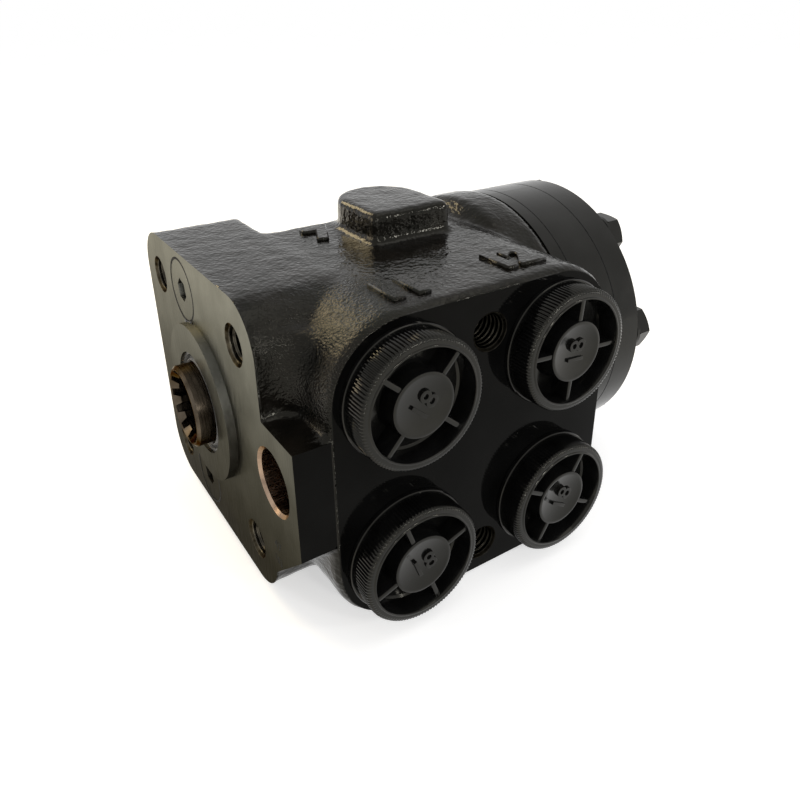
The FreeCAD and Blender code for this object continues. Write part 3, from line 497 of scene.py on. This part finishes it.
def dress_nodes():
    """Materials for the CAD pieces that the scene shows as they are."""
    paint = painted_turning()
    steel = ground_steel()
    rubber = seal_rubber()
    milled = milled_face()
    for node in nodes:
        wear_all(node, steel)
        smooth_by_angle(nodes[node].data)
    for node in ("distributor_plate", "gear_ring", "end_cover", "cover_screws", "pin_screw",
                 "screw_washers"):
        wear_all(node, paint)
    for node in ("dust_seal", "shaft_seal", "face_seals"):
        wear_all(node, rubber)
    for node in ("valve_plug_upper", "valve_plug_lower"):
        wear_all(node, milled)


CAST, SMOOTH, MILLED, BORED, THREAD, CROSS_THREAD = range(6)


def housing_finish(place):
    """Which finish the housing's skin has at a point, in millimetres."""
    x, y, z = place
    if x < FACE_TOUCH:
        return MILLED
    if PORT_FACE_Y + FACE_TOUCH < y < FACE_BOLT_END:
        if any(math.hypot(x - a, z - b) < FACE_BOLT_REACH for a, b in FACE_BOLTS):
            return CROSS_THREAD
    if PORT_FACE_Y + FACE_TOUCH < y < PORT_END:
        if any(math.hypot(x - a, z - b) < PORT_REACH for a in PORT_XS for b in PORT_ZS):
            return CROSS_THREAD
    if x < PILOT_END and y > PORT_FACE_Y + PILOT_CLEAR:
        if math.hypot(y - PILOT_CENTRE[0], z - PILOT_CENTRE[1]) < PILOT_REACH:
            return BORED
    if math.hypot(y, z) < CONTROL_BORE_REACH and x < HOUSING_END:
        return BORED
    if x < COLUMN_HOLE_END:
        if math.hypot(abs(y) - COLUMN_HOLE, abs(z) - COLUMN_HOLE) < COLUMN_HOLE_REACH:
            return THREAD
    if y < PORT_FACE_Y + FACE_TOUCH or x > HOUSING_END - FACE_TOUCH:
        return SMOOTH
    return CAST


def remeshed(source):
    """The source's skin as even quads."""
    rough = new_object("rough_casting", source.copy())
    modifier = rough.modifiers.new("remesh", "REMESH")
    modifier.mode = "VOXEL"
    modifier.voxel_size = VOXEL * MM
    made = bpy.data.meshes.new_from_object(rough.evaluated_get(
        bpy.context.evaluated_depsgraph_get()))
    bpy.data.objects.remove(rough)
    return made


def skin_borders(source):
    """A search tree of points along the edges between the cast skin and machined faces."""
    made = bmesh.new()
    made.from_mesh(source)
    bmesh.ops.remove_doubles(made, verts=made.verts, dist=WELD * MM)
    points = []
    for edge in made.edges:
        finishes = {housing_finish(face.calc_center_median() / MM) for face in edge.link_faces}
        if CAST not in finishes or len(finishes) < 2:
            continue
        start, end = [vertex.co.copy() for vertex in edge.verts]
        steps = max(1, math.ceil((end - start).length / (BORDER_STEP * MM)))
        points += [start.lerp(end, k / steps) for k in range(steps + 1)]
    made.free()
    tree = KDTree(len(points))
    for k, point in enumerate(points):
        tree.insert(point, k)
    tree.balance()
    return tree


def read_vectors(mesh, field, count):
    """One field of every vertex, as rows."""
    values = np.empty(count * 3, np.float32)
    mesh.vertices.foreach_get(field, values)
    return values.reshape(-1, 3)


def write_places(mesh, places):
    mesh.vertices.foreach_set("co", places.astype(np.float32).ravel())
    mesh.update()


def settle(places, source):
    """Snap places to borders and tuck machined ones in; return the cast and tucked flags."""
    tree = BVHTree.FromPolygons([v.co for v in source.vertices],
                                [tuple(p.vertices) for p in source.polygons])
    borders = skin_borders(source)
    cast = np.zeros(len(places))
    hidden = np.zeros(len(places), bool)
    for k in range(len(places)):
        hit, normal, _, _ = tree.find_nearest(Vector(places[k]))
        edge, _, gap = borders.find(hit)
        if gap < EDGE_SNAP * MM:
            places[k] = edge
        elif housing_finish(hit / MM) == CAST:
            cast[k] = 1.0
        else:
            places[k] = hit - normal * (RIM_TUCK * MM)
            hidden[k] = True
    return cast, hidden


def mean_of_neighbours(mesh, count):
    """A function that averages values over each vertex's neighbours."""
    edges = np.empty(len(mesh.edges) * 2, np.int64)
    mesh.edges.foreach_get("vertices", edges)
    edges = edges.reshape(-1, 2)
    degree = np.bincount(edges.ravel(), minlength=count).astype(float)

    def neighbours_mean(values):
        total = np.zeros_like(values)
        np.add.at(total, edges[:, 0], values[edges[:, 1]])
        np.add.at(total, edges[:, 1], values[edges[:, 0]])
        return total / (degree[:, None] if values.ndim == 2 else degree)
    return neighbours_mean


def cast_skin(source):
    """The cast skin, rounded and rough; its rim tucks in under the machined faces."""
    mesh = remeshed(source)
    count = len(mesh.vertices)
    places = read_vectors(mesh, "co", count).astype(float)
    cast, hidden = settle(places, source)
    neighbours_mean = mean_of_neighbours(mesh, count)
    weight = cast.copy()
    for _ in range(RELIEF_FADE_ROUNDS):
        weight = np.minimum(cast, neighbours_mean(weight))
    for _ in range(CAST_ROUNDS):
        places += 0.5 * cast[:, None] * (neighbours_mean(places) - places)
    write_places(mesh, places)
    normals = read_vectors(mesh, "normal", count)
    for k in np.nonzero(weight > 0)[0]:
        spot = Vector(places[k]) / MM
        lift = sum(depth * noise.noise(spot / size) for size, depth in
                   (RELIEF_COARSE, RELIEF_FINE)) - RELIEF_SINK
        places[k] += normals[k] * (lift * weight[k] * MM)
    write_places(mesh, places)
    skin = bmesh.new()
    skin.from_mesh(mesh)
    skin.verts.ensure_lookup_table()
    covered = [face for face in skin.faces if all(hidden[v.index] for v in face.verts)]
    bmesh.ops.delete(skin, geom=covered, context="FACES")
    for face in skin.faces:
        face.material_index = CAST
        face.smooth = True
    return skin


def machined_faces(source):
    """The machined faces, with their true edges."""
    made = bmesh.new()
    made.from_mesh(source)
    bmesh.ops.remove_doubles(made, verts=made.verts, dist=WELD * MM)
    for face in made.faces:
        face.material_index = housing_finish(face.calc_center_median() / MM)
        face.smooth = True
    for edge in made.edges:
        if edge.calc_face_angle(0) > math.radians(SHARP_EDGE):
            edge.smooth = False
    cast = [face for face in made.faces if face.material_index == CAST]
    bmesh.ops.delete(made, geom=cast, context="FACES")
    mesh = bpy.data.meshes.new("machined_faces")
    made.to_mesh(mesh)
    made.free()
    return mesh


def add_marks(skin):
    """Raised cast figures on the top of the block, beside the ports."""
    start = len(skin.faces)
    for text, x, y, size in CAST_MARKS:
        add_number(skin, text, size, Matrix.Translation(mm(x, y, BLOCK_TOP - MARK_SINK)),
                   MARK_HEIGHT, MARK_BEVEL, MARK_SWELL)
    skin.faces.ensure_lookup_table()
    figures = skin.faces[start:]
    bmesh.ops.recalc_face_normals(skin, faces=figures)
    for face in figures:
        face.material_index = CAST
        face.smooth = True


def make_casting():
    """The housing's visible skin: the cast part, the raised figures and the machined faces."""
    source = nodes["housing"].data
    made = cast_skin(source)
    add_marks(made)
    made.from_mesh(machined_faces(source))
    mesh = bpy.data.meshes.new("housing_casting")
    made.to_mesh(mesh)
    made.free()
    for finish in (cast_paint(), smooth_paint(), milled_face(), bored_metal(),
                   dark_thread("thread", "X", 1.0), dark_thread("cross_thread", "Y", 0.15)):
        mesh.materials.append(finish)
    casting = new_object("housing_casting", mesh)
    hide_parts("housing")
    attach(casting, "root")


def turned_rows(rows, steps):
    """Vertices and quads of rings: each row is (height, function of the step giving radius)."""
    vertices = []
    faces = []
    for height, radius_at in rows:
        for k in range(steps):
            angle = 2 * math.pi * k / steps
            radius = radius_at(k)
            vertices.append(mm(radius * math.cos(angle), radius * math.sin(angle), height))
    for row in range(len(rows) - 1):
        for k in range(steps):
            after = (k + 1) % steps
            faces.append((row * steps + k, row * steps + after,
                          (row + 1) * steps + after, (row + 1) * steps + k))
    return vertices, faces


def plain(radius):
    return lambda k: radius


def ribbed(radius, share=1.0):
    """A radius that ribs cut into, by a share of their full depth."""
    ribs = (0.0, 0.0, PLUG_RIB_DEPTH, PLUG_RIB_DEPTH)
    return lambda k: radius - share * ribs[k % PLUG_RIB_STEPS]


def threaded(height, steps):
    """The radius of the stub's helical thread along one ring of steps."""
    def radius_at(k):
        cut = abs(2 * ((height / PLUG_PITCH - k / steps) % 1.0) - 1)
        return PLUG_STUB_R - PLUG_THREAD_DEPTH * min(1.0, max(0.0, 1.25 * cut - 0.12))
    return radius_at


def plug_rows(steps):
    """A plug's whole outline, from the middle of its inside, round the stub, rim and hub."""
    thread_rows = math.ceil((PLUG_STUB_LENGTH - 2.2) / (PLUG_PITCH / 8))
    thread_heights = [-PLUG_STUB_LENGTH + 0.3 + row * PLUG_PITCH / 8
                      for row in range(thread_rows + 1)]
    return [
        (PLUG_TOP - 2.4, plain(0.5)),
        (PLUG_TOP - 2.4, plain(PLUG_STUB_INNER_R - 1.2)),
        (0.0, plain(PLUG_STUB_INNER_R)),
        (-PLUG_STUB_LENGTH, plain(PLUG_STUB_INNER_R)),
        (-PLUG_STUB_LENGTH, plain(PLUG_STUB_R - 1.1)),
        *[(height, threaded(height, steps)) for height in thread_heights],
        (-1.6, plain(PLUG_STUB_R - 0.5)),
        (0.05, plain(PLUG_STUB_R - 0.5)),
        (0.05, plain(PLUG_R - 0.35)),
        (0.2, plain(PLUG_R)),
        (PLUG_BASE - 0.25, plain(PLUG_R)),
        (PLUG_BASE, plain(PLUG_R - 0.2)),
        (PLUG_BASE + 0.05, plain(PLUG_RIM_R - PLUG_RIB_DEPTH)),
        (PLUG_BASE + 0.25, ribbed(PLUG_RIM_R)),
        (PLUG_TOP - 1.1, ribbed(PLUG_RIM_R)),
        (PLUG_TOP - 0.55, ribbed(PLUG_RIM_R - 0.3, 0.9)),
        (PLUG_TOP - 0.3, ribbed(PLUG_RIM_R - 0.75, 0.5)),
        (PLUG_TOP - 0.25, plain(PLUG_RIM_R - 1.3)),
        (PLUG_TOP - 0.25, plain(PLUG_WINDOW_R + 0.75)),
        (PLUG_TOP - 0.05, plain(PLUG_WINDOW_R + 0.6)),
        (PLUG_TOP, plain(PLUG_WINDOW_R + 0.45)),
        (PLUG_TOP, plain(PLUG_WINDOW_R + 0.15)),
        (PLUG_TOP - 0.2, plain(PLUG_WINDOW_R)),
        (PLUG_FLOOR + 0.5, plain(PLUG_WINDOW_R - 0.25)),
        (PLUG_FLOOR, plain(PLUG_WINDOW_R - 0.8)),
        (PLUG_FLOOR, plain(PLUG_HUB_R + 0.8)),
        (PLUG_FLOOR + 0.5, plain(PLUG_HUB_R + 0.25)),
        (PLUG_HUB_TOP - 0.3, plain(PLUG_HUB_R)),
        (PLUG_HUB_TOP - 0.08, plain(PLUG_HUB_R - 0.1)),
        (PLUG_HUB_TOP, plain(PLUG_HUB_R - 0.35)),
        (PLUG_HUB_TOP, plain(PLUG_HUB_R - 1.0)),
        (PLUG_HUB_TOP - 0.15, plain(PLUG_HUB_R - 1.25)),
        (PLUG_HUB_TOP - 0.15, plain(0.5)),
    ]


def plug_mesh():
    """A transport plug about its own axis, with its open side towards +Z."""
    steps = PLUG_RIBS * PLUG_RIB_STEPS
    rows = plug_rows(steps)
    vertices, faces = turned_rows(rows, steps)
    for ring in (0, len(rows) - 1):
        centre = len(vertices)
        vertices.append(mm(0, 0, rows[ring][0]))
        start = ring * steps
        for k in range(steps):
            pair = (start + k, start + (k + 1) % steps)
            faces.append((centre, *(pair[::-1] if ring == 0 else pair)))
    mesh = bpy.data.meshes.new("transport_plug")
    mesh.from_pydata(vertices, [], faces)
    made = bmesh.new()
    made.from_mesh(mesh)
    for k in range(PLUG_SPOKES):
        add_spoke(made, math.radians(360 / PLUG_SPOKES * k))
    add_number(made, PLUG_NUMBER, PLUG_NUMBER_SIZE,
               Matrix.Translation(mm(0, 0, PLUG_HUB_TOP - PLUG_NUMBER_SINK)), PLUG_NUMBER_HEIGHT)
    bmesh.ops.recalc_face_normals(made, faces=made.faces)
    made.to_mesh(mesh)
    made.free()
    mesh.materials.append(plug_plastic())
    smooth_by_angle(mesh, PLUG_SHARP_EDGE)
    return mesh


def add_spoke(made, turn):
    """A thin wall with a rounded top edge, from the hub to the rim."""
    half = PLUG_SPOKE / 2
    section = [(-half - 0.15, PLUG_FLOOR - 0.2), (-half, PLUG_HUB_TOP - 0.6),
               (-half + 0.12, PLUG_HUB_TOP - 0.38), (-half + 0.35, PLUG_HUB_TOP - 0.3),
               (half - 0.35, PLUG_HUB_TOP - 0.3), (half - 0.12, PLUG_HUB_TOP - 0.38),
               (half, PLUG_HUB_TOP - 0.6), (half + 0.15, PLUG_FLOOR - 0.2)]
    spin = Matrix.Rotation(turn, 4, "Z")
    rings = []
    for radius in (PLUG_HUB_R - 0.5, PLUG_WINDOW_R + 0.3):
        rings.append([made.verts.new(spin @ mm(radius, side, height))
                      for side, height in section])
    for k in range(len(section)):
        after = (k + 1) % len(section)
        made.faces.new((rings[0][k], rings[1][k], rings[1][after], rings[0][after]))
    made.faces.new(rings[0])
    made.faces.new(rings[1][::-1])


def add_number(made, text, size, place, height, bevel=0.1, swell=0.0):
    """Raised figures, centred at a place, size and height in millimetres."""
    curve = bpy.data.curves.new("figures", "FONT")
    curve.body = text
    curve.align_x = "CENTER"
    curve.align_y = "CENTER"
    curve.size = size * MM
    curve.extrude = height / 2 * MM
    curve.bevel_depth = bevel * MM
    curve.offset = swell * MM
    curve.bevel_resolution = 1
    curve.resolution_u = 3
    figures = new_object("figures", curve)
    mesh = bpy.data.meshes.new_from_object(figures)
    mesh.transform(place @ Matrix.Translation(mm(0, 0, height / 2)))
    made.from_mesh(mesh)
    bpy.data.objects.remove(figures)
    bpy.data.curves.remove(curve)
    bpy.data.meshes.remove(mesh)


def make_plugs():
    """The four transport plugs, each turned a little differently in its port."""
    mesh = plug_mesh()
    ports = [(x, z) for z in PORT_ZS for x in PORT_XS]
    for number, (x, z) in enumerate(ports, 1):
        turned = mesh.copy()
        turned.transform(Matrix.Rotation(math.radians(PLUG_ANGLES[number - 1]), 4, "Z"))
        plug = new_object("transport_plug_%d" % number, turned)
        outward = Matrix.Rotation(math.pi / 2, 4, "X")
        plug.matrix_world = Matrix.Translation(mm(x, PORT_FACE_Y, z)) @ outward
        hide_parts("port_plug_%d" % number)
        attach(plug, "plug_%d" % number)


def stamped_ink():
    """The dark bottom of stamped figures."""
    s = Shader("stamped_ink", (0.006, 0.005, 0.004), 0.6, specular=0.05)
    s.feed("Base Color", s.ramp(s.noise(0.8, 2), [(0.3, 0.002), (0.7, 0.012)]))
    return s.material


def seam_ring(name, origin, radius, width, along):
    """A thin dark line round the X axis through origin: on a face, or round a cylinder."""
    near, far = (-width / 2, width / 2) if along else (0.0, 0.0)
    inner_radius = radius if along else radius - width
    vertices = []
    faces = []
    for k in range(SEAM_STEPS):
        angle = 2 * math.pi * k / SEAM_STEPS
        for lift, r in ((near, inner_radius), (far, radius)):
            vertices.append(mm(origin[0] + lift, origin[1] + r * math.cos(angle),
                               origin[2] + r * math.sin(angle)))
        after = (k + 1) % SEAM_STEPS
        faces.append((2 * k, 2 * after, 2 * after + 1, 2 * k + 1))
    mesh = bpy.data.meshes.new(name)
    mesh.from_pydata(vertices, [], faces)
    mesh.materials.append(stamped_ink())
    seam = new_object(name, mesh)
    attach(seam, "root")


def make_seams():
    """The dark joint lines of the rear stack and round the two front plugs."""
    for number, x in enumerate(STACK_JOINTS, 1):
        seam_ring("stack_joint_%d" % number, (x, 0, 0), STACK_R + SEAM_PROUD, STACK_SEAM, True)
    for number, side in enumerate((1, -1), 1):
        seam_ring("valve_plug_joint_%d" % number, (-SEAM_PROUD, VALVE_Y, side * VALVE_Z),
                  VALVE_PLUG_R + PLUG_SEAM_RIM, PLUG_SEAM, False)


def make_stamp():
    """Small dark figures on the mounting face beside the lower hole, as if stamped there."""
    made = bmesh.new()
    turn = Matrix(((0, 0, -1, 0), (-1, 0, 0, 0), (0, 1, 0, 0), (0, 0, 0, 1)))
    for text, y, z, size in STAMPS:
        add_number(made, text, size, Matrix.Translation(mm(STAMP_SINK, y, z)) @ turn,
                   STAMP_HEIGHT, 0.0)
    mesh = bpy.data.meshes.new("stamped_figures")
    made.to_mesh(mesh)
    made.free()
    mesh.materials.append(stamped_ink())
    stamp = new_object("stamped_figures", mesh)
    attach(stamp, "root")


bpy.context.scene.view_settings.view_transform = "Standard"
make_camera()
make_world()
make_lamps()
make_floor()
dress_nodes()
make_casting()
make_stamp()
make_seams()
make_plugs()
